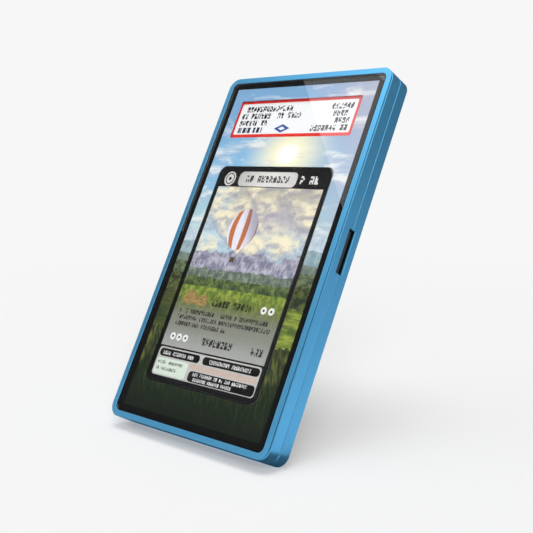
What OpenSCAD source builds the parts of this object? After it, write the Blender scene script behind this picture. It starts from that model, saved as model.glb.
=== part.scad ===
// Magnetic display case for one graded trading card.
// Two anodised frames close round a clear slab that holds the card. Each frame carries a clear window.
// X runs across the case, Y from the front face to the rear face, Z up. The origin is at the middle
// of the bottom edge. Depths in this file are counted in millimetres behind the front face.

/* [Slab] */
// Width of the clear slab that the case is made for
slab_w = 81; // [78:0.5:88]
// Thickness of the slab
slab_t = 6; // [5.5:0.1:7.5]
// Radius of the slab's corners
slab_r = 3; // [2.5:0.25:4]
// Thickness of each clear face of the slab
slab_face = 1; // [0.8:0.1:1.5]
// Width of the slab's solid rim
slab_rim = 1.6; // [1.2:0.1:2]
// Clear space between the slab's shells and the mat inside them
mat_gap = 0.1; // [0.05:0.05:0.2]
// Bevel round the slab's outer edges
slab_bevel = 0.4; // [0.2:0.1:0.6]
// Width of the mat's ledge under the edge of the card and of the label
mat_ledge = 1.8; // [1:0.1:2.5]

/* [Card and label] */
// Width of the card
card_w = 63; // [60:0.1:66]
// Height of the card
card_h = 96.5; // [88:0.5:99]
// Thickness of the card
card_t = 0.35; // [0.3:0.05:0.6]
// Radius of the card's corners
card_r = 3; // [2:0.25:4]
// Height of the card's lower edge above the slab's lower edge
card_low = 10.9; // [8:0.1:14]
// Width of the grade label
label_w = 68; // [64:0.1:70]
// Height of the grade label
label_h = 18.4; // [16:0.1:19]
// Thickness of the grade label
label_t = 0.3; // [0.2:0.05:0.5]
// Radius of the label's corners
label_r = 1.2; // [0.5:0.1:2]
// Distance from the card's upper edge up to the label's lower edge
label_gap = 14.1; // [8:0.1:18]
// Distance from the label's upper edge up to the slab's upper edge
label_top = 3.1; // [3:0.1:6]
// How far the card and the label lie to the left of the slab's middle
contents_left = 0.8; // [0:0.1:1.5]
// Clear space between the card or label and the side of its recess in the mat
recess_play = 0.15; // [0.1:0.05:0.2]

/* [Frames] */
// Thickness of the long side walls
side_wall = 3.5; // [3.2:0.1:4.6]
// Thickness of the top and bottom walls, which hold the magnets
end_wall = 6.75; // [6.5:0.05:9]
// Radius of the case's outer corners
case_r = 5; // [4.8:0.1:9]
// Width of the metal face round each window
bezel_w = 2.5; // [2.2:0.1:3]
// Bevel on the outer edge of the front face
front_bevel = 0.2; // [0.1:0.05:0.25]
// Bevel on the outer edge of the rear face
rear_bevel = 0.4; // [0.2:0.05:0.5]
// Bevel on the metal edge beside each window
sight_bevel = 0.15; // [0.1:0.05:0.2]
// Distance from the front face to the fine groove that runs round the front frame
groove_back = 0.3; // [0.3:0.05:0.5]
// Width of the fine groove
groove_w = 0.7; // [0.4:0.05:0.9]
// Depth of the fine groove
groove_d = 0.6; // [0.4:0.05:0.8]
// Bevel on the groove's rear edge
groove_bevel = 0.3; // [0.1:0.05:0.35]
// Small bevel where the two frames meet
seam_bevel = 0.2; // [0.05:0.05:0.3]
// Depth of the front frame, from its face to the seam
front_depth = 6.75; // [6.2:0.05:7.2]
// Thickness of the front ledge that the window is stuck to
front_ledge_t = 0.6; // [0.5:0.1:0.7]
// Width of the front ledge, inwards from the window's seat
front_ledge_w = 1.4; // [1.2:0.1:1.6]
// Thickness of the rear ledge, which carries the slab and the rear window
rear_ledge_t = 1.4; // [1:0.1:2.5]
// How far the rear ledge reaches in past the pocket's wall
rear_ledge_w = 3.5; // [2.5:0.1:5]
// How far the inner walls and ledges run into the side walls, to make one piece with them
wall_bite = 0.3; // [0.1:0.1:0.5]
// Width of the rear frame's locating lip
lip_w = 0.9; // [0.7:0.05:1]
// Height of the locating lip above the seam
lip_h = 1.2; // [0.8:0.1:1.4]
// Clear space round the lip
lip_gap = 0.1; // [0.05:0.05:0.15]

/* [Windows] */
// Thickness of the clear front and rear windows
window_t = 1.5; // [1:0.1:2]
// How far each window lies below the metal face
window_sink = 0.1; // [0.05:0.05:0.3]
// Gap between a window's edge and the metal
window_gap = 0.05; // [0.05:0.05:0.1]
// Bevel on the outer edge of each window
window_bevel = 0.12; // [0.05:0.01:0.15]
// Thickness of the printed layers behind the windows
print_t = 0.12; // [0.1:0.01:0.2]
// Thickness of the clear glue between a window and the printed layer behind it
glue_t = 0.03; // [0.01:0.01:0.05]
// Thickness of the bonding tape
tape_t = 0.1; // [0.05:0.05:0.2]
// Gap between the tape and each edge of its ledge
tape_inset = 0.1; // [0.05:0.05:0.2]

/* [Printed layers] */
// Black border at the sides of the front window, from the case's outer face
border_side = 5.8; // [5:0.1:7]
// Black border at the top of the front window
border_top = 5.3; // [4.5:0.1:6]
// Black border at the bottom of the front window
border_bottom = 5.7; // [5:0.1:7]
// How far the rear window's black border reaches past the rear ledge
border_past_ledge = 0.6; // [0.3:0.1:1]
// How much larger than the card its opening in the art film is, on each side
card_reveal = 0.5; // [0.1:0.1:0.8]
// How far the film laps over each edge of the label
label_lap = 0.2; // [0.1:0.05:0.8]
// How far the film's openings lie to the right of the card and the label
sight_right = 0.5; // [0:0.1:1]
// How far the film's openings lie below the card and the label
sight_down = 0.4; // [0:0.1:0.5]

/* [Foam] */
// Thickness of the foam round the slab's edge
liner_t = 0.8; // [0.5:0.1:1.2]
// Gap between the foam and the slab, on each side
slab_gap = 0.2; // [0.1:0.05:0.4]
// Thickness of the foam pad behind the slab
pad_t = 1.15; // [0.5:0.05:1.5]
// Gap in front of and behind the slab when the case is closed
face_gap = 0.1; // [0.05:0.05:0.2]

/* [Pry slot] */
// Length of the slot in the right-hand wall
slot_len = 18; // [12:0.5:24]
// Width of the slot, half of it on each side of the seam
slot_w = 3.5; // [2:0.1:3.8]
// Depth of the slot, down to the foam tongue in it
slot_d = 1.9; // [1:0.1:2.6]
// Height of the slot's middle above the middle of the case
slot_up = 3.6; // [-20:0.1:20]
// Bevel along the slot's mouth
slot_bevel = 0.3; // [0.1:0.05:0.4]
// Gap between the foam tongue and the slot's walls
tongue_gap = 0.1; // [0.05:0.05:0.2]

/* [Magnets] */
// Diameter of each magnet
magnet_d = 4; // [3:0.1:4]
// Thickness of each magnet
magnet_t = 2; // [1:0.1:2.2]
// Magnets in the top wall of each frame, and again in the bottom wall
magnets = 3; // [2:1:5]
// Distance from the first magnet in a wall to the last
magnet_span = 56; // [40:1:68]
// Radial gap round a magnet in its pocket
magnet_gap = 0.05; // [0.02:0.01:0.1]

/* [Hidden] */

// The slab is as tall as the card, the label and the spaces round them, and the pocket and the
// case are worked out from the slab outwards
slab_h = card_low + card_h + label_gap + label_h + label_top;
pocket_w = slab_w + 2 * (slab_gap + liner_t);
pocket_h = slab_h + 2 * (slab_gap + liner_t);
case_w = pocket_w + 2 * side_wall;
case_h = pocket_h + 2 * end_wall;

// Depths of the layers, from the front face to the rear face
glass_front = window_sink;
glass_back = glass_front + window_t;
print_front = glass_back + glue_t;
tape_front = print_front + print_t;
ledge_front = tape_front + tape_t;
ledge_back = ledge_front + front_ledge_t;
slab_front = tape_front + face_gap;
slab_back = slab_front + slab_t;
slab_seam = (slab_front + slab_back) / 2;
shelf_front = slab_back + face_gap + pad_t;
shelf_back = shelf_front + rear_ledge_t;
rear_print_front = shelf_back + tape_t;
rear_print_back = rear_print_front + print_t;
rear_glass_front = rear_print_back + glue_t;
case_d = rear_glass_front + window_t + window_sink;

// The locating lip and the recess for it
lip_top = front_depth - lip_h;
lip_recess = lip_top - lip_gap;
lip_room = lip_w + lip_gap;

// The windows, and the openings in the layers behind them
glass_inset = bezel_w + window_gap;
glass_w = case_w - 2 * glass_inset;
glass_h = case_h - 2 * glass_inset;
glass_r = case_r - glass_inset;
art_w = case_w - 2 * border_side;
art_h = case_h - border_top - border_bottom;
art_y = (border_bottom - border_top) / 2;
shelf_hole_w = pocket_w - 2 * rear_ledge_w;
shelf_hole_h = pocket_h - 2 * rear_ledge_w;

// Places inside the slab
mat_front = slab_front + slab_face + mat_gap / 2;
mat_back = slab_back - slab_face - mat_gap / 2;
mat_edge = slab_rim + mat_gap;
card_y = card_low + (card_h - slab_h) / 2;
label_y = (slab_h - label_h) / 2 - label_top;

// How far a cut runs past the face it starts from
past = 1;

// Stands up what is drawn flat, with x across, y up from the middle of the case and z the depth.
module upright() {
    translate([0, -case_d / 2, case_h / 2]) rotate([90, 0, 0]) mirror([0, 0, 1]) children();
}

// A plain block between two depths, centred on x and y.
module block(w, h, from, to, x = 0, y = 0) {
    translate([x - w / 2, y - h / 2, from]) cube([w, h, to - from]);
}

// Corner points of a rounded outline, with an arc of twelve steps at each corner.
function outline(w, h, r) = [
    for (i = [0:3], a = [0:7.5:90])
        let (sx = (i == 0 || i == 3) ? 1 : -1, sy = (i < 2) ? 1 : -1)
        [sx * (w / 2 - r) + r * cos(90 * i + a), sy * (h / 2 - r) + r * sin(90 * i + a)]
];

// A flat piece with rounded corners between two depths.
module sheet(w, h, r, from, to, x = 0, y = 0) {
    translate([x, y, from]) linear_extrude(height = to - from) polygon(outline(w, h, r));
}

// Carries a section round a rounded rectangle. Section points are [inset from the edge, depth].
module swept(w, h, r, section) {
    half_w = w / 2 - r;
    half_h = h / 2 - r;
    turned = [for (p = section) [r - p[0], p[1]]];
    for (i = [0:3]) {
        sx = (i == 0 || i == 3) ? 1 : -1;
        sy = (i < 2) ? 1 : -1;
        translate([sx * half_w, sy * half_h, 0]) rotate([0, 0, 90 * i])
            rotate_extrude(angle = 90, $fn = 96) polygon(turned);
    }
    for (side = [0, 180]) {
        rotate([0, 0, side]) translate([half_w, 0, 0]) rotate([90, 0, 0])
            linear_extrude(height = 2 * half_h, center = true) polygon(turned);
        rotate([0, 0, side + 90]) translate([half_h, 0, 0]) rotate([90, 0, 0])
            linear_extrude(height = 2 * half_w, center = true) polygon(turned);
    }
}

// The slot for a fingernail or a coin, with a bevel along both long edges of its mouth.
module pry_slot() {
    half = slot_w / 2;
    mouth = half + slot_bevel;
    deep = side_wall + past;
    section = [
        [past, -mouth - past], [0, -mouth], [-slot_bevel, -half], [-deep, -half],
        [-deep, half], [-slot_bevel, half], [0, mouth], [past, mouth + past]
    ];
    translate([case_w / 2, slot_up, front_depth]) rotate([90, 0, 0])
        linear_extrude(height = slot_len, center = true) polygon(section);
}

// Places its children at each magnet, midway between the end face and the lip.
module at_magnets() {
    pitch = magnet_span / (magnets - 1);
    up = case_h / 2 - (end_wall - lip_room) / 2;
    for (s = [-1, 1], i = [0:magnets - 1])
        translate([i * pitch - magnet_span / 2, s * up, 0]) children();
}

module magnet_pockets(from, to) {
    at_magnets() translate([0, 0, from])
        cylinder(d = magnet_d + 2 * magnet_gap, h = to - from, $fn = 48);
}

module magnet_set(from) {
    color("#c9ccd0") upright()
        at_magnets() translate([0, 0, from]) cylinder(d = magnet_d, h = magnet_t, $fn = 48);
}

// The thick top and bottom walls of a frame, between two depths.
module end_walls(from, to) {
    deep = end_wall - bezel_w;
    for (s = [-1, 1])
        block(pocket_w + 2 * wall_bite, deep, from, to, 0, s * (pocket_h + deep) / 2);
}

// The front half: a milled frame with a bevelled face, a fine groove and a seat for the window.
module front_frame() {
    ledge_in = bezel_w + front_ledge_w;
    groove_end = groove_back + groove_w;
    lip_hole = 2 * lip_room;
    section = [
        [front_bevel, 0], [bezel_w - sight_bevel, 0], [bezel_w, sight_bevel],
        [bezel_w, ledge_front], [ledge_in, ledge_front], [ledge_in, ledge_back],
        [side_wall, ledge_back], [side_wall, front_depth], [seam_bevel, front_depth],
        [0, front_depth - seam_bevel], [0, groove_end + groove_bevel],
        [groove_bevel, groove_end], [groove_d, groove_end], [groove_d, groove_back],
        [0, groove_back], [0, front_bevel]
    ];
    color("#4fa6dc") upright() difference() {
        union() {
            swept(case_w, case_h, case_r, section);
            end_walls(ledge_front, front_depth);
        }
        block(pocket_w + lip_hole, pocket_h + lip_hole, lip_recess, front_depth + past);
        magnet_pockets(front_depth - magnet_t - magnet_gap, front_depth + past);
        pry_slot();
    }
}

// The rear half: the same outline, with a ledge that carries the slab and a lip that fits the front.
module rear_frame() {
    section = [
        [seam_bevel, front_depth], [side_wall, front_depth], [side_wall, shelf_back],
        [bezel_w, shelf_back], [bezel_w, case_d - sight_bevel], [bezel_w - sight_bevel, case_d],
        [rear_bevel, case_d], [0, case_d - rear_bevel], [0, front_depth + seam_bevel]
    ];
    color("#4597cd") upright() difference() {
        union() {
            swept(case_w, case_h, case_r, section);
            end_walls(front_depth, shelf_back);
            difference() {
                block(pocket_w + 2 * wall_bite, pocket_h + 2 * wall_bite, shelf_front, shelf_back);
                block(shelf_hole_w, shelf_hole_h, shelf_front - past, shelf_back + past);
            }
            difference() {
                block(pocket_w + 2 * lip_w, pocket_h + 2 * lip_w, lip_top, front_depth + past);
                block(pocket_w, pocket_h, lip_top - past, front_depth + 2 * past);
            }
        }
        magnet_pockets(front_depth - past, front_depth + magnet_t + magnet_gap);
        pry_slot();
    }
}

// A clear window with a bevel round its outer face. The depths are those of its two faces.
module window(outer, inner) {
    bevel = sign(inner - outer) * window_bevel;
    section = [
        [window_bevel, outer], [glass_r, outer], [glass_r, inner], [0, inner], [0, outer + bevel]
    ];
    color("#cfe4ee", 0.35) upright() {
        swept(glass_w, glass_h, glass_r, section);
        block(glass_w - 2 * glass_r, glass_h - 2 * glass_r, min(outer, inner), max(outer, inner));
    }
}

module front_window() {
    window(glass_front, glass_back);
}

module rear_window() {
    window(case_d - window_sink, rear_glass_front);
}

// Black border printed behind the edge of the front window.
module front_border_print() {
    color("#101012") upright() difference() {
        sheet(glass_w, glass_h, glass_r, print_front, tape_front);
        block(art_w, art_h, print_front - past, tape_front + past, 0, art_y);
    }
}

// Printed picture film inside the border, with openings for the card and for the grade label.
module art_film() {
    x = sight_right - contents_left;
    from = print_front - past;
    to = tape_front + past;
    open_r = max(label_r - label_lap, label_r / 4);
    color("#5d8fb0") upright() difference() {
        block(art_w, art_h, print_front, tape_front, 0, art_y);
        sheet(card_w + 2 * card_reveal, card_h + 2 * card_reveal, card_r + card_reveal,
              from, to, x, card_y - sight_down);
        sheet(label_w - 2 * label_lap, label_h - 2 * label_lap, open_r,
              from, to, x, label_y - sight_down);
    }
}

// Black border printed behind the rear window, wide enough to hide the ledge.
module rear_border_print() {
    past_ledge = 2 * border_past_ledge;
    color("#101012") upright() difference() {
        sheet(glass_w, glass_h, glass_r, rear_print_front, rear_print_back);
        block(shelf_hole_w - past_ledge, shelf_hole_h - past_ledge,
              rear_print_front - past, rear_print_back + past);
    }
}

// Thin ring of tape that holds the front window to its ledge.
module front_bond_tape() {
    outer = bezel_w + tape_inset;
    inner = bezel_w + front_ledge_w - tape_inset;
    color("#26282b") upright() difference() {
        sheet(case_w - 2 * outer, case_h - 2 * outer, case_r - outer, tape_front, ledge_front);
        sheet(case_w - 2 * inner, case_h - 2 * inner, case_r - inner,
              tape_front - past, ledge_front + past);
    }
}

// Thin ring of tape that holds the rear window to the rear ledge.
module rear_bond_tape() {
    outer = bezel_w + tape_inset;
    color("#26282b") upright() difference() {
        sheet(case_w - 2 * outer, case_h - 2 * outer, case_r - outer, shelf_back, rear_print_front);
        block(shelf_hole_w + 2 * tape_inset, shelf_hole_h + 2 * tape_inset,
              shelf_back - past, rear_print_front + past);
    }
}

// Black foam round the slab's edge. The front and the rear half each have a ring of it. What is
// made as its children is joined to it.
module liner(from, to) {
    color("#17181a") upright() {
        difference() {
            block(pocket_w, pocket_h, from, to);
            sheet(slab_w + 2 * slab_gap, slab_h + 2 * slab_gap, slab_r + slab_gap,
                  from - past, to + past);
        }
        children();
    }
}

module front_liner() {
    liner(ledge_back, lip_recess - lip_gap);
}

// The rear ring has a tongue that fills the pry slot from inside and gives it its black floor.
module rear_liner() {
    inner = (pocket_w - liner_t) / 2;
    outer = case_w / 2 - slot_d;
    liner(lip_top, shelf_front)
        block(outer - inner, slot_len - 2 * tongue_gap, lip_top,
              front_depth + slot_w / 2 - tongue_gap, (inner + outer) / 2, slot_up);
}

// Foam pad on the rear ledge, which the back of the slab lies on.
module rear_pad() {
    color("#1c1d20") upright() difference() {
        sheet(slab_w, slab_h, slab_r, shelf_front - pad_t, shelf_front);
        block(shelf_hole_w, shelf_hole_h, shelf_front - pad_t - past, shelf_front + past);
    }
}

module front_magnets() {
    magnet_set(front_depth - magnet_t - magnet_gap / 2);
}

module rear_magnets() {
    magnet_set(front_depth + magnet_gap / 2);
}

// One clear half of the slab: a thin face with a solid rim. The depths are those of face and seam.
module slab_shell(face, seam) {
    dir = sign(seam - face);
    inside = face + dir * slab_face;
    section = [
        [slab_bevel, face], [slab_r, face], [slab_r, inside], [slab_rim, inside],
        [slab_rim, seam], [0, seam], [0, face + dir * slab_bevel]
    ];
    color("#dfe9ee", 0.4) upright() {
        swept(slab_w, slab_h, slab_r, section);
        block(slab_w - 2 * slab_r, slab_h - 2 * slab_r, min(face, inside), max(face, inside));
    }
}

module slab_front_shell() {
    slab_shell(slab_front, slab_seam);
}

module slab_rear_shell() {
    slab_shell(slab_back, slab_seam);
}

// A recess for a card or label in the mat, with a smaller opening right through behind it.
module recess(w, h, r, t, y) {
    play = 2 * recess_play;
    sheet(w + play, h + play, r + recess_play, mat_front - past, mat_front + t, -contents_left, y);
    sheet(w - 2 * mat_ledge, h - 2 * mat_ledge, r / 2, mat_front, mat_back + past,
          -contents_left, y);
}

// Black plastic mat that holds the card and the label between the two shells.
module card_mat() {
    color("#0d0d0f") upright() difference() {
        sheet(slab_w - 2 * mat_edge, slab_h - 2 * mat_edge, slab_r - mat_edge, mat_front, mat_back);
        recess(card_w, card_h, card_r, card_t, card_y);
        recess(label_w, label_h, label_r, label_t, label_y);
    }
}

module trading_card() {
    color("#8b9a8c") upright()
        sheet(card_w, card_h, card_r, mat_front, mat_front + card_t, -contents_left, card_y);
}

module grade_label() {
    color("#f3f1ee") upright()
        sheet(label_w, label_h, label_r, mat_front, mat_front + label_t, -contents_left, label_y);
}

front_frame();
front_window();
front_border_print();
art_film();
front_bond_tape();
front_liner();
front_magnets();
rear_frame();
rear_window();
rear_border_print();
rear_bond_tape();
rear_liner();
rear_pad();
rear_magnets();
slab_front_shell();
slab_rear_shell();
card_mat();
trading_card();
grade_label();
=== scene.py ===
import math

import bpy
from mathutils import Matrix, Vector


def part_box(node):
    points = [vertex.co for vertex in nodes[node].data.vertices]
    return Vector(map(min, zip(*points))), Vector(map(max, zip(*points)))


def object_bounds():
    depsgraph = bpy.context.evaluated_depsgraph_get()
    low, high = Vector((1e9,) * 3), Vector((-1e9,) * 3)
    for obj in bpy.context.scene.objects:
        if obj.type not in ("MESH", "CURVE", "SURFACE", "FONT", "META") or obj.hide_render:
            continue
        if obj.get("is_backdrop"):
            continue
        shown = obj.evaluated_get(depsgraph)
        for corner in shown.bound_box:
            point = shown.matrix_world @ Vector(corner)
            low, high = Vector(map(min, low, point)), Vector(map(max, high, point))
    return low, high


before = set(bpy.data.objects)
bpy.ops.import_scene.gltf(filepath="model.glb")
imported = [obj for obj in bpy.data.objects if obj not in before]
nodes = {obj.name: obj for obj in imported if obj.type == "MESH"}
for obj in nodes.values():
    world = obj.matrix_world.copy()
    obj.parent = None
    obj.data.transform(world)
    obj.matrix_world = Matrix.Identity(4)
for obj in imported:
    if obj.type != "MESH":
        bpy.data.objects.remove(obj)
cad_low, cad_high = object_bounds()
scene = bpy.context.scene

# Camera
# It looks up a little at the case from in front of its right-hand corner, so that the front, the
# right-hand side and the pry slot all show. The case leans back, so the picture's upright is tilted.
camera_place = Vector((0.26114, -0.253965, -0.00845))
camera_right = Vector((0.72136, 0.61514, 0.31817))
camera_down = Vector((0.08258, 0.37974, -0.92140))
lean_up = Vector((0, -0.45941, 0.88822))
camera_data = bpy.data.cameras.new("camera")
camera_data.sensor_width = 36
camera_data.lens = 62.23
camera_data.clip_start = 0.01
camera = bpy.data.objects.new("camera", camera_data)
scene.collection.objects.link(camera)
camera_back = camera_down.cross(camera_right)
camera.matrix_world = Matrix.Translation(camera_place) @ Matrix(
    (camera_right, -camera_down, camera_back)).transposed().to_4x4()
scene.camera = camera
scene.view_settings.view_transform = "Standard"

# Studio floor
# A pale sheet of paper under the case. The case leans back on its lower rear edge, so the sheet
# slopes in the case's own frame. It is greyer when it shows in the metal. Seen from beneath it is clear.
PALE = (0.930, 0.930, 0.930, 1)
PAPER_DULL, PAPER_GLOW = 0.565, 0.26  # how much of the lamps' light the paper gives back, and its own
# What the metal shows of the paper is a painted reflection: a glow seen only by glossy rays, brighter
# close to the case and dimmer far off.
MIRRORED = (0.90, 0.935, 1, 1)  # the paper's colour where it shows in the metal
MIRRORED_NEAR, MIRRORED_FAR = 0.73, 0.46  # how brightly it shows there, close to the case and far off
rest_edge = Vector((0, cad_high.y, 0))
away = Vector((0, 0.88822, 0.45941))  # along the floor, away from the front


def plug(tree, value, socket):
    """Puts a value, or what comes out of a node, into a socket."""
    if isinstance(value, bpy.types.Node):
        value = value.outputs[0]
    if isinstance(value, bpy.types.NodeSocket):
        tree.links.new(value, socket)
    else:
        socket.default_value = value


def shader_node(tree, kind, inputs=None, **settings):
    """A new node of a material or of the world, with these settings and inputs."""
    node = tree.nodes.new("ShaderNode" + kind)
    for name, value in settings.items():
        setattr(node, name, value)
    for name, value in (inputs or {}).items():
        plug(tree, value, node.inputs[name])
    return node


def bare_tree(owner):
    """The node tree of a material or of the world, emptied."""
    owner.use_nodes = True
    owner.node_tree.nodes.clear()
    return owner.node_tree


def stage_sheet(name, middle, facing, width, height, upright):
    """A flat sheet of the studio, which faces a given way with one side along upright."""
    bpy.ops.object.select_all(action="DESELECT")
    bpy.ops.mesh.primitive_plane_add(size=1)
    sheet = bpy.context.object
    sheet.name = name
    facing = facing.normalized()
    across = upright.cross(facing).normalized()
    turn = Matrix((across, facing.cross(across), facing)).transposed().to_4x4()
    sheet.data.transform(Matrix.Translation(middle) @ turn @ Matrix.Diagonal((width, height, 1, 1)))
    sheet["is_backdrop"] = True
    return sheet


floor = stage_sheet("floor", rest_edge, lean_up, 12, 12, away)
paper = bpy.data.materials.new("floor_paper")
tree = bare_tree(paper)
matt = shader_node(tree, "BsdfDiffuse", {"Color": (PAPER_DULL, PAPER_DULL, PAPER_DULL, 1)})
glow = shader_node(tree, "Emission", {"Color": (PAPER_GLOW, PAPER_GLOW, PAPER_GLOW, 1)})
near = shader_node(tree, "AddShader", {0: matt, 1: glow})
far = shader_node(tree, "Emission", {"Color": PALE})
place = shader_node(tree, "TexCoord").outputs["Object"]
reach = shader_node(tree, "VectorMath", {0: place}, operation="LENGTH").outputs["Value"]
dimming = shader_node(tree, "MapRange", {"Value": reach, "From Min": 0.08, "From Max": 0.45,
                                         "To Min": MIRRORED_NEAR, "To Max": MIRRORED_FAR})
mirrored = shader_node(tree, "Emission", {"Color": MIRRORED, "Strength": dimming})
fading = shader_node(tree, "MapRange", {"Value": reach, "From Min": 0.25, "From Max": 0.8},
                     interpolation_type="SMOOTHSTEP")
pale_paper = shader_node(tree, "MixShader", {0: fading, 1: near, 2: far})
rays = shader_node(tree, "LightPath").outputs
top_side = shader_node(tree, "MixShader", {0: rays["Is Glossy Ray"], 1: pale_paper, 2: mirrored})
clear = shader_node(tree, "BsdfTransparent")
beneath = shader_node(tree, "NewGeometry").outputs["Backfacing"]
one_sided = shader_node(tree, "MixShader", {0: beneath, 1: top_side, 2: clear})
shader_node(tree, "OutputMaterial", {"Surface": one_sided})
floor.data.materials.append(paper)

# Studio light
# An even pale room, a soft sun nearly overhead for the shadow, a fill lamp beside the camera, and a
# long soft box whose edge shows in the glass. Grey cards, which the camera sees only in glossy and
# clear surfaces, darken what the metal and the glass show.
ROOM = 0.25
world = bpy.data.worlds.new("studio")
scene.world = world
tree = bare_tree(world)
rays = shader_node(tree, "LightPath").outputs
seen = shader_node(tree, "Math", {0: rays["Is Camera Ray"], 1: rays["Is Glossy Ray"]}, operation="ADD")
seen_at_all = shader_node(tree, "Math", {0: seen, 1: rays["Is Transmission Ray"]},
                          operation="ADD", use_clamp=True)
room = shader_node(tree, "Background", {"Color": (1, 1, 1, 1), "Strength": ROOM})
backdrop = shader_node(tree, "Background", {"Color": PALE})
either = shader_node(tree, "MixShader", {0: seen_at_all, 1: room, 2: backdrop})
shader_node(tree, "OutputWorld", {"Surface": either})


def lamp(name, kind, place, facing, upright, energy):
    """A lamp at a place, which shines towards facing and has one side along upright."""
    data = bpy.data.lights.new(name, kind)
    data.energy = energy
    lit = bpy.data.objects.new(name, data)
    scene.collection.objects.link(lit)
    back = -facing.normalized()
    across = upright.cross(back).normalized()
    lit.matrix_world = Matrix.Translation(place) @ Matrix(
        (across, back.cross(across), back)).transposed().to_4x4()
    return lit


# The soft box stands parallel to the window, so its edge in the mirror image is a plain scaling of
# the line that shows on the glass, from the middle of the top border down to the right.
window_low, window_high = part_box("front_window")
mirror_y = window_low.y
BOX_Y = -0.8
camera_mirrored = Vector((camera_place.x, 2 * mirror_y - camera_place.y, camera_place.z))


def seen_in_glass(x, z):
    """Where the point of the glass at x and z, as the camera sees it, lands on the soft box's plane."""
    reach = (BOX_Y - camera_mirrored.y) / (mirror_y - camera_mirrored.y)
    return camera_mirrored + (Vector((x, mirror_y, z)) - camera_mirrored) * reach


edge_top = seen_in_glass(0, 0.154)
edge_low = seen_in_glass(0.0395, 0.1015)
along_edge = (edge_low - edge_top).normalized()
off_edge = Vector((-along_edge.z, 0, along_edge.x))
BOX_LONG, BOX_WIDE, BOX_RADIANCE = 1.1, 0.6, 0.75
softbox = lamp("softbox", "AREA", (edge_top + edge_low) / 2 + off_edge * BOX_WIDE / 2,
               Vector((0, 1, 0)), along_edge, BOX_RADIANCE * math.pi * BOX_LONG * BOX_WIDE)
softbox.data.shape = "RECTANGLE"
softbox.data.size = BOX_WIDE
softbox.data.size_y = BOX_LONG

sun = lamp("sun", "SUN", Vector((0.1, -0.6, 0.8)), Vector((-0.123, 0.561, -0.818)),
           Vector((0, 0, 1)), 1.64)
sun.data.angle = math.radians(38)
fill = lamp("fill", "SUN", Vector((0.8, -0.9, 0.1)), Vector((-0.66, 0.72, -0.1)),
            Vector((0, 0, 1)), 2.48)
fill.data.angle = math.radians(30)
for lit in (sun, fill):  # so that neither shows as a disc in the metal or inside the clear parts
    lit.visible_glossy = False
    lit.visible_transmission = False


def grey_card(name, middle, facing, width, height, low_shade, high_shade, upright=lean_up):
    """A card of the studio that only shows in glossy and clear surfaces. It changes from its low shade
    at the height of the case's foot to its high shade at 0.6 m."""
    card = stage_sheet(name, middle, facing, width, height, upright)
    dull = bpy.data.materials.new(name)
    tree = bare_tree(dull)
    place = shader_node(tree, "TexCoord").outputs["Object"]
    up = shader_node(tree, "SeparateXYZ", {0: place}).outputs["Z"]
    shade = shader_node(tree, "MapRange", {
        "Value": up, "From Max": 0.6, "To Min": low_shade, "To Max": high_shade})
    glow = shader_node(tree, "Emission", {"Color": (1, 1, 1, 1), "Strength": shade})
    shader_node(tree, "OutputMaterial", {"Surface": glow})
    card.data.materials.append(dull)
    card.visible_camera = False
    card.visible_diffuse = False
    card.visible_volume_scatter = False
    card.visible_shadow = False
    return card


grey_card("dark_card_left", seen_in_glass(-0.005, 0.070) * 1.35, Vector((0.7, 0.68, -0.2)),
          1.0, 1.0, 0.02, 0.02)
# The dark card on the floor just behind the case's foot is painted shade: it stands for the contact
# shadow that the metal's lower corners show.
grey_card("dark_card_floor", rest_edge + away * 0.006 + lean_up * 0.0004, lean_up,
          0.112, 0.042, 0.01, 0.01, away)
grey_card("dark_card_front", Vector((0.83, -0.66, 0.10)), Vector((-0.76, 0.65, 0)),
          0.7, 0.48, 0.10, 0.10)
grey_card("dark_card_top", Vector((-0.20, 0.84, 0.92)), Vector((0.15, -0.7, -0.7)),
          0.9, 0.8, 0.04, 0.04)
grey_card("grey_card_back", Vector((0.90, 0.85, 0.55)), Vector((-0.7, -0.7, -0.1)),
          2.4, 1.8, 0.37, 0.11)

# Front frame
# Milled aluminium with a bevelled face, brushed along its length and anodised light blue. Its
# window is stuck into it, and magnets in its end walls hold it on the rear frame.
MM = 1000  # shader values below are in millimetres


def tint(code):
    """A display colour such as #5fa0d8 as the linear colour that shaders take."""
    shares = [int(code[i:i + 2], 16) / 255 for i in (1, 3, 5)]
    return (*[s / 12.92 if s <= 0.04045 else ((s + 0.055) / 1.055) ** 2.4 for s in shares], 1)


class Num:
    """A number that runs through a material. A sum with it adds a maths node."""

    def __init__(self, finish, socket):
        self.finish, self.socket = finish, socket

    def __add__(self, other):
        return self.finish.maths("ADD", self, other)

    def __sub__(self, other):
        return self.finish.maths("SUBTRACT", self, other)

    def __rsub__(self, other):
        return self.finish.maths("SUBTRACT", other, self)

    def __mul__(self, other):
        return self.finish.maths("MULTIPLY", self, other)

    def __truediv__(self, other):
        return self.finish.maths("DIVIDE", self, other)

    __radd__, __rmul__ = __add__, __mul__


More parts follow.
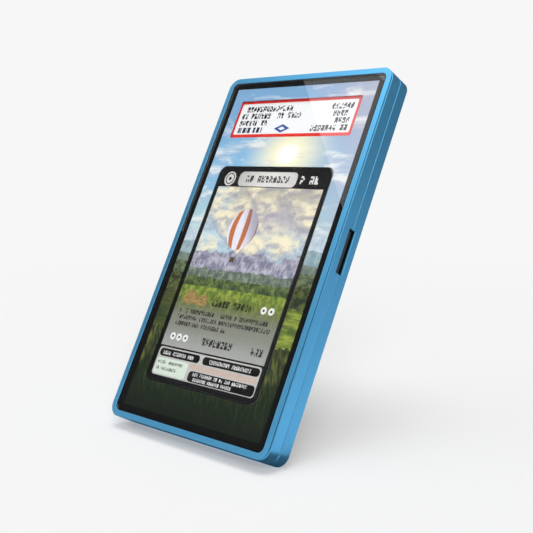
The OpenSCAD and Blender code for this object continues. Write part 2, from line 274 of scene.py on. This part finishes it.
class Finish:
    """A material in the making. Its calls add nodes and give back what comes out of them."""

    def __init__(self, name):
        self.material = bpy.data.materials.new(name)
        self.material.use_nodes = True
        self.tree = self.material.node_tree
        self.shader = self.tree.nodes["Principled BSDF"]
        place = self.add("TexCoord").outputs["Object"]
        split = self.add("SeparateXYZ", {"Vector": place})
        self.x, self.y, self.z = [Num(self, out) * MM for out in split.outputs]

    def join(self, value, socket):
        """Puts a value, a number of this material or what comes out of a node into a socket."""
        plug(self.tree, value.socket if isinstance(value, Num) else value, socket)

    def add(self, kind, inputs=None, **settings):
        """A new node with these settings and inputs."""
        node = shader_node(self.tree, kind, **settings)
        for name, value in (inputs or {}).items():
            self.join(value, node.inputs[name])
        return node

    def maths(self, operation, a, b=0.0, c=0.0):
        """One sum of up to three numbers."""
        node = self.add("Math", {0: a, 1: b, 2: c}, operation=operation)
        return Num(self, node.outputs[0])

    def far(self, a, b, share=1.0):
        """How far the point at a and b is from the middle. The square of b counts for some share."""
        return self.maths("SQRT", self.maths("MULTIPLY_ADD", b * b, share, a * a))

    def point(self, a, b, c=0.0):
        """Three numbers as one place."""
        return self.add("CombineXYZ", {"X": a, "Y": b, "Z": c}).outputs[0]

    def noise(self, a, b, c=0.0, detail=3.0, rough=0.5):
        """Cloudy noise from 0 to 1, with a grain of about one unit of a, b and c."""
        node = self.add("TexNoise", {
            "Vector": self.point(a, b, c), "Scale": 1.0, "Detail": detail, "Roughness": rough})
        return Num(self, node.outputs["Fac"])

    def cells(self, a, b, c=0.0):
        """Distance to the nearest of many scattered points, about one to a unit."""
        node = self.add("TexVoronoi", {"Vector": self.point(a, b, c), "Scale": 1.0})
        return Num(self, node.outputs["Distance"])

    def chance(self, a, b, c=0.0):
        """A different random number from 0 to 1 for each whole place."""
        node = self.add("TexWhiteNoise", {"Vector": self.point(a, b, c)})
        return Num(self, node.outputs["Value"])

    def over(self, value, limit, soft=0.05):
        """Rises from 0 to 1 where a value passes a limit, over a width of twice soft."""
        gap = self.maths("SUBTRACT", value, limit)
        node = self.add("MapRange", {"Value": gap, "From Min": -soft, "From Max": soft},
                        interpolation_type="SMOOTHSTEP")
        return Num(self, node.outputs["Result"])

    def mix(self, first, second, share):
        """A colour that goes from the first to the second as share goes from 0 to 1."""
        node = self.add("Mix", data_type="RGBA")
        for value, at in ((share, 0), (first, 6), (second, 7)):
            self.join(value, node.inputs[at])
        return node.outputs[2]

    def between(self, low, high, share):
        """A number that goes from low to high as share goes from 0 to 1."""
        return share * (high - low) + low

    def block(self, x, z, width, height, corner=0.0, soft=0.05):
        """1 inside a rounded rectangle about the point where x and z are 0."""
        gap_x = self.maths("ABSOLUTE", x) - (width / 2 - corner)
        gap_z = self.maths("ABSOLUTE", z) - (height / 2 - corner)
        out_x = self.maths("MAXIMUM", gap_x, 0.0)
        out_z = self.maths("MAXIMUM", gap_z, 0.0)
        deep = self.maths("MINIMUM", self.maths("MAXIMUM", gap_x, gap_z), 0.0)
        return 1 - self.over(self.far(out_x, out_z) + deep, corner, soft)

    def bump(self, height, depth):
        """Gives the surface small hills of a height from 0 to 1, depth metres deep."""
        node = self.add("Bump", {"Height": height, "Distance": depth, "Strength": 1.0})
        self.join(node.outputs[0], self.shader.inputs["Normal"])

    def set(self, **values):
        """Sets inputs of the shader, with _ for each space in a name."""
        for name, value in values.items():
            self.join(value, self.shader.inputs[name.replace("_", " ")])

    def coat(self, *names):
        """Puts the finish on these nodes in place of what they had."""
        for name in names:
            nodes[name].data.materials.clear()
            nodes[name].data.materials.append(self.material)


frame_low, frame_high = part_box("front_frame")
CASE_W = (frame_high.x - frame_low.x) * MM
CASE_H = (frame_high.z - frame_low.z) * MM
CASE_R = 5.0
SEAM = 6.75  # from the front face to where the two frames meet
SLOT_Z = CASE_H / 2 + 3.6
SLOT_W, SLOT_L = 3.9, 18.4  # the pry slot with its bevel
GROOVE_FROM, GROOVE_TO = 0.28, 1.01  # the groove's two walls, from the front face
GROOVE_BOTTOM = 1.2  # no groove is deeper than this below the sides of the case
PAINTED_SHADE_SHARE = 0.06  # how much of the metal's colour is left where shade is painted in the groove and the slot


def brushed_metal(name, colour, seed):
    """Anodised metal whose fine lines run round the frame, as they are left by a belt. Its groove and pry
    slot get painted shade.
    """
    metal = Finish(name)
    gap_x = metal.maths("ABSOLUTE", metal.x) - (CASE_W / 2 - CASE_R)
    gap_z = metal.maths("ABSOLUTE", metal.z - CASE_H / 2) - (CASE_H / 2 - CASE_R)
    out_x = metal.maths("MAXIMUM", gap_x, 0.0)
    out_z = metal.maths("MAXIMUM", gap_z, 0.0)
    inset = metal.far(out_x, out_z) + metal.maths(
        "MINIMUM", metal.maths("MAXIMUM", gap_x, gap_z), 0.0)
    along = (metal.x + metal.z) * 0.05
    streaks = metal.noise(inset * 9, metal.y * 9, along + seed, detail=4, rough=0.7)
    patches = metal.noise(metal.x * 0.05, metal.y * 0.2, metal.z * 0.05 + seed, detail=2)
    shade = metal.mix((*[c * 0.90 for c in colour[:3]], 1), colour, patches)
    shade = metal.mix((*[c * 0.86 for c in colour[:3]], 1), shade, metal.over(streaks, 0.42, 0.22))
    from_face = metal.y - frame_low.y * MM
    below = CASE_R - inset
    # Painted shade: the walls deep in the groove and in the pry slot keep only a few percent of the
    # metal's colour, for the shade inside them.
    groove = metal.over(below, 0.10, 0.08) * (1 - metal.over(below, GROOVE_BOTTOM, 0.1))
    groove *= metal.over(from_face, GROOVE_FROM, 0.03) * (1 - metal.over(from_face, GROOVE_TO, 0.04))
    slot = metal.over(below, 0.55, 0.3) * metal.over(metal.x, CASE_W / 3, 1)
    slot *= metal.block(from_face - SEAM, metal.z - SLOT_Z, SLOT_W, SLOT_L)
    painted_shade = metal.maths("MAXIMUM", groove, slot)
    shade = metal.mix(shade, (*[c * PAINTED_SHADE_SHARE for c in colour[:3]], 1), painted_shade)
    metal.set(Base_Color=shade, Metallic=0.86, IOR=1.5,
              Roughness=metal.between(0.26, 0.38, streaks))
    metal.bump(streaks, 0.000006)
    return metal


brushed_metal("blue_metal_front", (0.150, 0.585, 1.000, 1), 3.0).coat("front_frame")

# Rear frame
# The other milled half, of the same metal in a slightly darker blue. It holds the slab on its ledge.
brushed_metal("blue_metal_rear", (0.143, 0.555, 0.950, 1), 17.0).coat("rear_frame")

# Windows
# Polished clear acrylic, stuck on tape, with its rim blacked. Lamp light and the room's light go
# straight through it, and what is seen through it is bent as by the real thing.
PANE_W, PANE_H = (window_high.x - window_low.x) * MM, (window_high.z - window_low.z) * MM
PANE_R = CASE_R - (CASE_W - PANE_W) / 2


def clear_plastic(name, bend, seed, black_rim=0.0):
    """Clear plastic with very slight waves and wipe marks. A pane has a black rim of some width."""
    clear_one = Finish(name)
    wave = clear_one.noise(clear_one.x * 0.06, clear_one.z * 0.06, seed, detail=1)
    haze = clear_one.noise(clear_one.x * 0.3, clear_one.z * 0.9, seed + 5, detail=5, rough=0.7)
    tone = clear_one.mix((0.988, 0.994, 0.997, 1), (0.995, 0.998, 1.0, 1), haze)
    if black_rim:
        tone = clear_one.mix((0.01, 0.01, 0.01, 1), tone, clear_one.block(
            clear_one.x, clear_one.z - CASE_H / 2, PANE_W - 2 * black_rim, PANE_H - 2 * black_rim,
            PANE_R - black_rim, 0.01))
    clear_one.set(Base_Color=tone, Roughness=0.0, IOR=bend, Transmission_Weight=1.0)
    clear_one.bump(wave, 0.00001)
    rays = clear_one.add("LightPath")
    straight = clear_one.maths(
        "MAXIMUM", Num(clear_one, rays.outputs["Is Shadow Ray"]),
        Num(clear_one, rays.outputs["Is Diffuse Ray"]))
    through = clear_one.add("BsdfTransparent", {"Color": (0.996, 0.998, 0.999, 1)})
    pick = clear_one.add("MixShader", {
        0: straight, 1: clear_one.shader.outputs[0], 2: through.outputs[0]})
    clear_one.join(pick.outputs[0], clear_one.tree.nodes["Material Output"].inputs["Surface"])
    return clear_one


clear_plastic("clear_window", 1.49, 1.0, 0.13).coat("front_window", "rear_window")

# Slab
# Two moulded clear shells, welded round their rim, which seal in the card, the label and a mat.
clear_plastic("slab_plastic", 1.57, 9.0).coat("slab_front_shell", "slab_rear_shell")

# Black borders
# Ink printed on the back of each window, which hides the tape and the ledge behind it.
ink = Finish("black_print")
speck = ink.noise(ink.x * 3, ink.z * 3, ink.y, detail=4, rough=0.8)
ink.set(Base_Color=ink.mix((0.0045, 0.0045, 0.005, 1), (0.0075, 0.0075, 0.008, 1), speck),
        Roughness=ink.between(0.25, 0.4, speck), Specular_IOR_Level=0.1)
ink.coat("front_border_print", "rear_border_print")

# Picture film
# Printed film behind the front window, with openings for the card and the label. The picture is a
# quiet valley: high streaky cloud and a low sun, soft hills, round trees, meadow and dark grass.
film = Finish("printed_film")
x, z = film.x, film.z


def fade(finish, value, *stops):
    """A colour that runs through the stops, each a value and its colour."""
    shade = stops[0][1]
    for (low, _), (high, colour) in zip(stops, stops[1:]):
        middle, half = (low + high) / 2, (high - low) / 2
        shade = finish.mix(shade, colour, finish.over(value, middle, half))
    return shade


def below_ridge(finish, across, up, height, swing, width, seed, detail=3.0, soft=0.35):
    """1 below a wandering skyline of this height, swing and width of its hills."""
    rise = finish.noise(across / width, seed, detail=detail, rough=0.55)
    return 1 - finish.over(up - (rise - 0.5) * (2 * swing), height, soft)


warp = film.noise(x * 0.05, z * 0.05, 3.0, detail=2)
sky = fade(film, z + (warp - 0.5) * 14, (78, tint("#cfdedb")), (92, tint("#9fc0cc")),
           (116, tint("#7fb0d2")), (140, tint("#769fc4")))
sky = film.mix(sky, tint("#b0a9b6"), film.over(x + z * 0.35, 74, 28) * 0.8)
SUN_X, SUN_Z = 4, 121
from_sun = film.far(x - SUN_X, (z - SUN_Z) * 1.25)
sky = film.mix(sky, tint("#fff3c4"), (1 - film.over(from_sun, 14, 14)) * 0.95)
sky = film.mix(sky, tint("#fffdf0"), 1 - film.over(from_sun, 5.5, 1.8))
streak = film.noise(x * 0.035 + warp, z * 0.13, 8.0, detail=6, rough=0.62)
shadow_streak = film.noise(x * 0.035 + warp, (z + 2.2) * 0.13, 8.0, detail=6, rough=0.62)
sky = film.mix(sky, tint("#e9e8e0"), film.over(streak, 0.57, 0.085) * 0.72)
sky = film.mix(sky, tint("#9a9db8"), film.over(shadow_streak - streak, 0.03, 0.09)
               * film.over(streak, 0.53, 0.06) * 0.7)
picture = sky
for height, swing, width, seed, far, near in (
        (86, 5.5, 17, 21.0, "#a6b6c6", "#c3d0d6"), (80, 4.0, 11, 27.0, "#7d93a1", "#9db3b4"),
        (74.5, 3.0, 15, 33.0, "#5d6c68", "#7d8a78")):
    mask = below_ridge(film, x, z, height, swing, width, seed, detail=4)
    rock = film.noise(x * 0.3, z * 0.22, seed, detail=5, rough=0.7)
    picture = film.mix(picture, film.mix(tint(far), tint(near), film.over(rock, 0.5, 0.14)), mask)
leaf = film.noise(x * 0.9, z * 0.9, 5.0, detail=5, rough=0.75)
for height, swing, width, seed, dark, light in (
        (70.5, 2.6, 3.4, 41.0, "#36473a", "#6c7554"), (65.5, 3.6, 5.5, 47.0, "#283127", "#596038")):
    mask = below_ridge(film, x, z, height, swing, width, seed, detail=2)
    crown = film.cells(x * 0.34, z * 0.46, seed)
    bright = film.over(leaf - crown * 0.42, 0.27, 0.16)
    picture = film.mix(picture, film.mix(tint(dark), tint(light), bright), mask)
blade = film.noise(x * 0.75 + z * 0.2, z * 0.13, 2.0, detail=4, rough=0.7)
sward = film.noise(x * 0.09, z * 0.5, 6.0, detail=5, rough=0.65)
meadow = film.mix(tint("#4b6030"), tint("#94a045"), film.over(sward, 0.52, 0.13))
meadow = film.mix(tint("#2d3427"), meadow, film.over(x + (sward - 0.5) * 30, -8, 22) * 0.8 + 0.2)
picture = film.mix(picture, meadow, below_ridge(film, x, z, 56, 3.0, 12, 52.0))
scrub = film.mix(tint("#2a3324"), tint("#666a38"), film.over(blade, 0.55, 0.1))
picture = film.mix(picture, scrub, below_ridge(film, x, z, 41, 5.0, 7, 57.0, detail=5))
gloom = film.mix(tint("#1d281b"), tint("#3b4429"), film.over(blade, 0.57, 0.12))
gloom = film.mix(gloom, tint("#182019"), 1 - film.over(z, 14, 9))
picture = film.mix(picture, gloom, below_ridge(film, x, z, 27, 6.0, 6, 63.0, detail=5, soft=1.5))
weave = film.noise(x * 5, z * 5, 1.0, detail=2)
film.set(Base_Color=picture, Roughness=film.between(0.35, 0.5, weave), Specular_IOR_Level=0.15)
film.coat("art_film")

# Card
# Printed and coated card stock with a black border. Its design is a plain one: a title strip, a
# hot-air balloon over a valley with hay heaps, a pale panel with rows of signs, and a footer.
card_low, card_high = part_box("trading_card")
card = Finish("card_stock")
card_x = card.x - (card_low.x + card_high.x) / 2 * MM
card_z = card.z - (card_low.z + card_high.z) / 2 * MM
SIGN_ROOM = 0.72  # along the row, as a share of a sign's height
DOTS_ALONG, DOTS_UP, DOTS_BETWEEN = 3, 4, 0.8  # dots in a sign, and the gap to the next in dots


def signs(finish, x, z, rows):
    """Rows of small signs, each of a dozen random dots, where words would stand, and how light they
    are. A row has a left end, a base line, a height, a number of signs, a seed and a lightness."""
    sums = [0.0] * 6
    for left, base, height, count, seed, light in rows:
        pitch = height * SIGN_ROOM
        here = finish.maths("COMPARE", x, left + count * pitch / 2, count * pitch / 2)
        here *= finish.maths("COMPARE", z, base + height / 2, height / 2)
        measures = (1.0, 1 / pitch, left / pitch, base / height, seed, light)
        sums = [finish.maths("MULTIPLY_ADD", here, measure, so_far)
                for measure, so_far in zip(measures, sums)]
    inside, pace, start, foot, seed, light = sums
    place = x * pace - start
    number, part = finish.maths("FLOOR", place), finish.maths("FRACT", place)
    row = z * pace * SIGN_ROOM - foot
    room = DOTS_ALONG + DOTS_BETWEEN
    column, line = finish.maths("FLOOR", part * room), finish.maths("FLOOR", row * DOTS_UP)
    kept = finish.over(finish.chance(number * (DOTS_ALONG + 1) + column, line, seed), 0.31, 0.01)
    spaced = finish.over(finish.chance(number, seed, 0.6), 0.12, 0.01)
    sign = kept * spaced * inside * (1 - finish.over(part, DOTS_ALONG / room, 0.02))
    return sign, light


FACE_W, FACE_H = 59.1, 93.2  # the printed face inside the black border
face_x = card_x + 0.2
inner = card.block(face_x, card_z + 0.4, FACE_W, FACE_H, corner=1.6)
print_tone = (0.008, 0.008, 0.009, 1)
silver = fade(card, card_x, (-26, tint("#b9b7b4")), (0, tint("#e6e3df")), (26, tint("#c4c1be")))
card_warp = card.noise(card_x * 0.09, card_z * 0.09, 2.0, detail=2)
air = fade(card, card_z + (card_warp - 0.5) * 12, (-4, tint("#cfe6ea")), (10, tint("#bcd3df")),
           (24, tint("#bdb9bd")), (38, tint("#c2bcab")))
air = card.mix(tint("#bfe0ee"), air, card.over(card_x + card_z * 0.2, -14, 10) * 0.75 + 0.25)
puff = card.noise(card_x * 0.075 + card_warp, card_z * 0.1, 14.0, detail=6, rough=0.6)
puff_low = card.noise(card_x * 0.075 + card_warp, (card_z + 2) * 0.1, 14.0, detail=6, rough=0.6)
air = card.mix(air, tint("#f7ecca"), card.over(puff, 0.52, 0.1) * 0.95)
air = card.mix(air, tint("#9593a6"), card.over(puff_low - puff, 0.03, 0.08) * 0.55)
view = air
for height, swing, width, seed, dark, light in (
        (9, 9.0, 12, 71.0, "#7c7c92", "#c3c0cc"), (1.5, 3.0, 9, 77.0, "#56625a", "#8e9a86"),
        (-2.5, 1.6, 2.4, 81.0, "#354431", "#788a4c"), (-6.5, 1.4, 9, 85.0, "#5b7430", "#a5b34c")):
    mask = below_ridge(card, card_x, card_z, height, swing, width, seed, detail=4, soft=0.2)
    rock = card.noise(card_x * 0.4, card_z * 0.25, seed, detail=5, rough=0.7)
    view = card.mix(view, card.mix(tint(dark), tint(light), card.over(rock, 0.52, 0.12)), mask)
BALLOON_X, BALLOON_Z, BALLOON_R = -6.5, 20, 8.2
ball_x, ball_z = card_x - BALLOON_X, card_z - BALLOON_Z
gore = card.maths("SINE", ball_x * card.maths("POWER", 1.25 - ball_z * ball_z * 0.006, -1.0) * 1.1)
cloth = card.mix(tint("#e9e6ef"), tint("#c2703a"), card.over(gore, 0.35, 0.1))
cloth = card.mix(cloth, tint("#6b6783"), card.over(ball_x + ball_z * 0.4, 3.2, 4.5) * 0.6)
view = card.mix(view, cloth, 1 - card.over(card.far(ball_x, ball_z, 0.8), BALLOON_R, 0.15))
basket = card.block(ball_x, ball_z + 13.6, 2.6, 2.2, corner=0.4)
view = card.mix(view, tint("#5b4634"), basket)
from_rope = card.maths("ABSOLUTE", card.maths("ABSOLUTE", ball_x) - (1.2 + (ball_z + 12.5) * 0.75))
ropes = (1 - card.over(from_rope, 0.1, 0.06)) * card.block(ball_x, ball_z + 10.4, 12, 4.2)
view = card.mix(view, tint("#4d4a52"), ropes)
face = card.mix(print_tone, view, inner)
blade_noise = card.noise(card_x * 1.4, card_z * 0.8, 4.0, detail=5, rough=0.7)
haze_tone = fade(card, card_z, (-35, tint("#a7a8a5")), (-22, tint("#86887c")), (-10, tint("#586039")))
panel = card.block(face_x, card_z + 25.5, FACE_W, 39)
face = card.mix(face, haze_tone, panel * (1 - card.over(card_z, -12.5, 8)) * inner)
HAY_Z, HAY_FOOT = -13.5, -14.6
hay = card.mix(tint("#b3985f"), tint("#7d6238"), card.over(blade_noise, 0.5, 0.1))
for heap_x, heap_r in ((-22.5, 4.2), (-15.2, 3.1)):
    heap = 1 - card.over(card.far(card_x - heap_x, card_z - HAY_Z, 0.7), heap_r, 0.25)
    face = card.mix(face, hay, heap * card.over(card_z, HAY_FOOT, 0.2))
TITLE_Z = 42.8
face = card.mix(face, print_tone, card.block(face_x, card_z - TITLE_Z - 0.4, FACE_W + 0.2, 8.4))
face = card.mix(face, silver, card.block(card_x + 2.5, card_z - TITLE_Z, 33, 6.8, corner=2.4))
badge_r = card.far(card_x + 24.4, card_z - TITLE_Z)
face = card.mix(face, tint("#dcd9d6"), 1 - card.over(badge_r, 3.3, 0.06))
face = card.mix(face, print_tone, card.over(badge_r, 2.1, 0.06) * (1 - card.over(badge_r, 2.6, 0.06)))
face = card.mix(face, print_tone, 1 - card.over(badge_r, 0.8, 0.06))
for spot_x, spot_z in ((20, -12.6), (24, -12.6), (-24.5, -29.2), (-20.7, -29.2), (-16.9, -29.2)):
    dot_r = card.far(card_x - spot_x, card_z - spot_z)
    face = card.mix(face, tint("#ecebea"), 1 - card.over(dot_r, 1.55, 0.06))
    face = card.mix(face, tint("#2a2a2e"), 1 - card.over(dot_r, 0.55, 0.06))
face = card.mix(face, print_tone, card.block(face_x, card_z + 40.6, FACE_W + 0.2, 14.2))
for left, right, low, high, corner, tone in (
        (-29.5, 29.1, -46.2, -34.2, 1.4, "#c0beba"), (-28.9, -9.8, -45.7, -38.8, 1.0, "#d6e2d3"),
        (-28.6, -4.6, -38.1, -34.8, 1.5, "#101012"), (-2.8, 28.5, -38.1, -34.8, 1.5, "#101012"),
        (-8.6, 28.5, -41.0, -38.7, 1.0, "#c6b3a7"), (-8.0, 28.7, -45.9, -41.5, 1.6, "#101012")):
    plate = card.block(card_x - (left + right) / 2, card_z - (low + high) / 2,
                       right - left, high - low, corner)
    face = card.mix(face, tint(tone), plate)
sign, lightness = signs(card, card_x, card_z, (
    (-14.5, 41.3, 3.1, 11, 3.0, 0.0), (16.0, 41.1, 3.5, 5, 5.0, 0.95),
    (-9, -14.2, 2.9, 11, 7.0, 0.0), (-26, -18.6, 1.8, 39, 8.0, 0.0), (-26, -21.4, 1.8, 41, 9.0, 0.0),
    (-26, -24.2, 1.8, 23, 10.0, 0.0), (-9, -30.6, 3.0, 10, 11.0, 0.0), (20.5, -30.6, 3.0, 3, 12.0, 0.0),
    (-26.5, -37.3, 1.6, 16, 15.0, 0.85), (1.0, -37.3, 1.6, 20, 18.0, 0.85),
    (-27.8, -41.2, 1.3, 16, 16.0, 0.0), (-27.8, -43.8, 1.3, 13, 17.0, 0.0),
    (-5.6, -43.4, 1.4, 30, 19.0, 0.85), (-5.6, -45.4, 1.3, 24, 20.0, 0.85)))
face = card.mix(face, card.mix(tint("#141416"), tint("#f0efed"), lightness), sign * 0.94)
back_ring = card.block(card_x, card_z, 53, 86, corner=3) - card.block(
    card_x, card_z, 50.6, 83.6, corner=2.4)
lattice = card.maths("SINE", (card_x + card_z) * 1.1) * card.maths("SINE", (card_x - card_z) * 1.1)
back = card.mix(tint("#1d3557"), tint("#2f5486"), card.over(lattice, 0.15, 0.2))
back = card.mix(tint("#132238"), back, card.block(card_x, card_z, 49, 82, corner=2))
back = card.mix(back, tint("#d9c27a"), back_ring)
back = card.mix(tint("#0f1a2c"), back, card.block(card_x, card_z, 57, 90.5, corner=2))
card_front, card_back = card_low.y * MM, card_high.y * MM
stock = card.mix(tint("#efece4"), face, 1 - card.over(card.y, card_front + 0.03, 0.01))
stock = card.mix(stock, back, card.over(card.y, card_back - 0.03, 0.01))
fibre = card.noise(card_x * 4, card_z * 4, 3.0, detail=4, rough=0.7)
card.set(Base_Color=stock, Roughness=card.between(0.3, 0.42, fibre), Specular_IOR_Level=0.35)
card.bump(fibre, 0.000002)
card.coat("trading_card")

# Grade label
# White printed paper with a red edge, sealed in the top of the slab. It has rows of signs, a row of
# upright bars and a plain blue lozenge.
label_low, label_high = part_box("grade_label")
label = Finish("label_paper")
label_x = label.x - (label_low.x + label_high.x) / 2 * MM
label_z = label.z - (label_low.z + label_high.z) / 2 * MM
sheet = label.block(label_x + 0.2, label_z, 64.9, 14.95, corner=0.6, soft=0.06)
mottle = label.noise(label_x * 2.5, label_z * 2.5, 4.0, detail=4, rough=0.7)
white = label.mix((0.91, 0.915, 0.925, 1), (0.945, 0.945, 0.95, 1), mottle)
red = label.mix(tint("#ea2a1e"), tint("#f53529"), mottle)
tone = label.mix(red, white, sheet)
sign, lightness = signs(label, label_x, label_z, (
    (-30.8, 3.3, 2.7, 15, 31.0, 0.0), (-30.8, -0.1, 2.7, 18, 32.0, 0.0), (-30.8, -3.4, 2.6, 9, 33.0, 0.0),
    (19.4, 3.3, 2.7, 6, 34.0, 0.0), (21.3, 0.0, 2.7, 5, 35.0, 0.0), (23.2, -3.3, 2.7, 4, 36.0, 0.0),
    (11.6, -6.6, 2.7, 10, 37.0, 0.0)))
tone = label.mix(tone, (0.012, 0.012, 0.014, 1), sign)
bar = label.chance(label.maths("FLOOR", label_x * 2.4), 3.0)
bars = label.over(bar, 0.42, 0.02) * label.block(label_x + 23.4, label_z + 5.5, 14.8, 2.6)
tone = label.mix(tone, tint("#20264a"), bars)
lozenge = label.maths("ABSOLUTE", label_x + 4.6) * 0.45 + label.maths("ABSOLUTE", label_z + 5.0)
tone = label.mix(tone, tint("#2b4c9b"), 1 - label.over(lozenge, 2.0, 0.06))
tone = label.mix(tone, tint("#f4f4f6"), 1 - label.over(lozenge, 0.9, 0.06))
label_back = label.mix(red, white, label.block(label_x, label_z, 64.6, 14.8, corner=0.6))
tone = label.mix(tone, label_back, label.over(label.y, label_high.y * MM - 0.05, 0.01))
label.set(Base_Color=tone, Roughness=0.55, Specular_IOR_Level=0.25)
label.bump(mottle, 0.000003)
label.coat("grade_label")

# Mat
# Black moulded plastic with a fine spark-eroded grain, which frames the card and the label.
mat = Finish("black_plastic")
grain = mat.noise(mat.x * 6, mat.z * 6, mat.y * 6, detail=4, rough=0.75)
mat.set(Base_Color=mat.mix((0.008, 0.008, 0.009, 1), (0.016, 0.016, 0.017, 1), grain),
        Roughness=mat.between(0.42, 0.6, grain))
mat.bump(grain, 0.00001)
mat.coat("card_mat")

# Foam
# Fine closed-cell foam, cut in rings. It holds the slab at its edges and cushions its back.
foam = Finish("black_foam")
cell = foam.cells(foam.x * 3.2, foam.y * 3.2, foam.z * 3.2)
pores = foam.noise(foam.x * 8, foam.y * 8, foam.z * 8, detail=3)
foam.set(Base_Color=foam.mix((0.018, 0.018, 0.019, 1), (0.060, 0.060, 0.062, 1),
                             foam.over(cell, 0.4, 0.3)),
         Roughness=foam.between(0.8, 0.95, pores), Specular_IOR_Level=0.3)
foam.bump(cell, 0.00008)
foam.coat("front_liner", "rear_liner", "rear_pad")

# Bonding tape
# Thin black double-sided tape, laid round each window's seat.
tape = Finish("bond_tape")
fuzz = tape.noise(tape.x * 4, tape.z * 4, tape.y * 4, detail=5, rough=0.8)
tape.set(Base_Color=tape.mix((0.015, 0.015, 0.018, 1), (0.04, 0.04, 0.045, 1), fuzz),
         Roughness=tape.between(0.5, 0.75, fuzz))
tape.bump(fuzz, 0.000015)
tape.coat("front_bond_tape", "rear_bond_tape")

# Magnets
# Small nickel-plated discs, pressed into the end walls of both frames.
plating = Finish("magnet_plating")
turned = plating.noise(plating.x * 6, plating.z * 6, plating.y * 2, detail=5, rough=0.75)
plating.set(Base_Color=plating.mix((0.50, 0.48, 0.45, 1), (0.66, 0.65, 0.62, 1), turned),
            Metallic=1.0, Roughness=plating.between(0.14, 0.3, turned))
plating.bump(turned, 0.000004)
plating.coat("front_magnets", "rear_magnets")

low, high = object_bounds()
